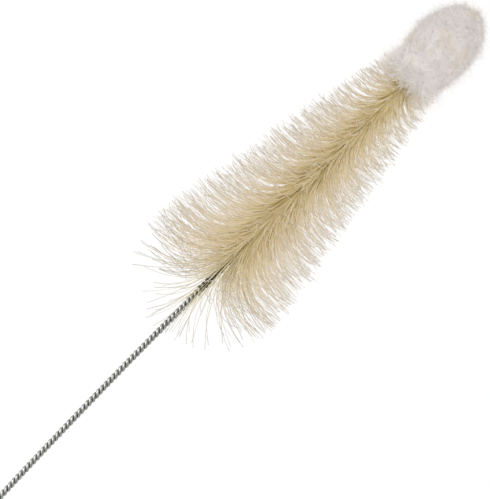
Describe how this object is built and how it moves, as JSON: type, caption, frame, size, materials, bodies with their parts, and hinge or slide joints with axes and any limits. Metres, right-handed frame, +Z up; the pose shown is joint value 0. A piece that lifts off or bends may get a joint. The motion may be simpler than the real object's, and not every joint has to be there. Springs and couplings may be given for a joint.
{
  "type": "bottle brush",
  "caption": "Conical bottle brush: a twisted wire stem with a hanging eye grips swept-back bristles and ends in a wool tuft.",
  "frame": {"origin": "On the surface the brush lies on, midway along its length and width", "axes": "+X along the brush from its hanging eye to its wool tip, +Z up, +Y across it to the left"},
  "size_m": [0.3965, 0.0734, 0.0707],
  "materials": {
    "wire": "satin",
    "bristle": "satin",
    "wool": "matte"
  },
  "bodies": {
    "root": {"stem_wire": "wire", "bristle_turn_01": "bristle", "bristle_turn_02": "bristle", "bristle_turn_03": "bristle", "bristle_turn_04": "bristle", "bristle_turn_05": "bristle", "bristle_turn_06": "bristle", "bristle_turn_07": "bristle", "bristle_turn_08": "bristle", "bristle_turn_09": "bristle", "bristle_turn_10": "bristle", "bristle_turn_11": "bristle", "bristle_turn_12": "bristle", "bristle_turn_13": "bristle", "bristle_turn_14": "bristle", "bristle_turn_15": "bristle", "bristle_turn_16": "bristle", "bristle_turn_17": "bristle", "bristle_turn_18": "bristle", "bristle_turn_19": "bristle", "bristle_turn_20": "bristle", "bristle_turn_21": "bristle", "bristle_turn_22": "bristle", "bristle_turn_23": "bristle", "bristle_turn_24": "bristle", "bristle_turn_25": "bristle", "bristle_turn_26": "bristle", "bristle_turn_27": "bristle", "bristle_turn_28": "bristle", "bristle_turn_29": "bristle", "bristle_turn_30": "bristle", "wool_tip": "wool"}
  },
  "joints": []
}
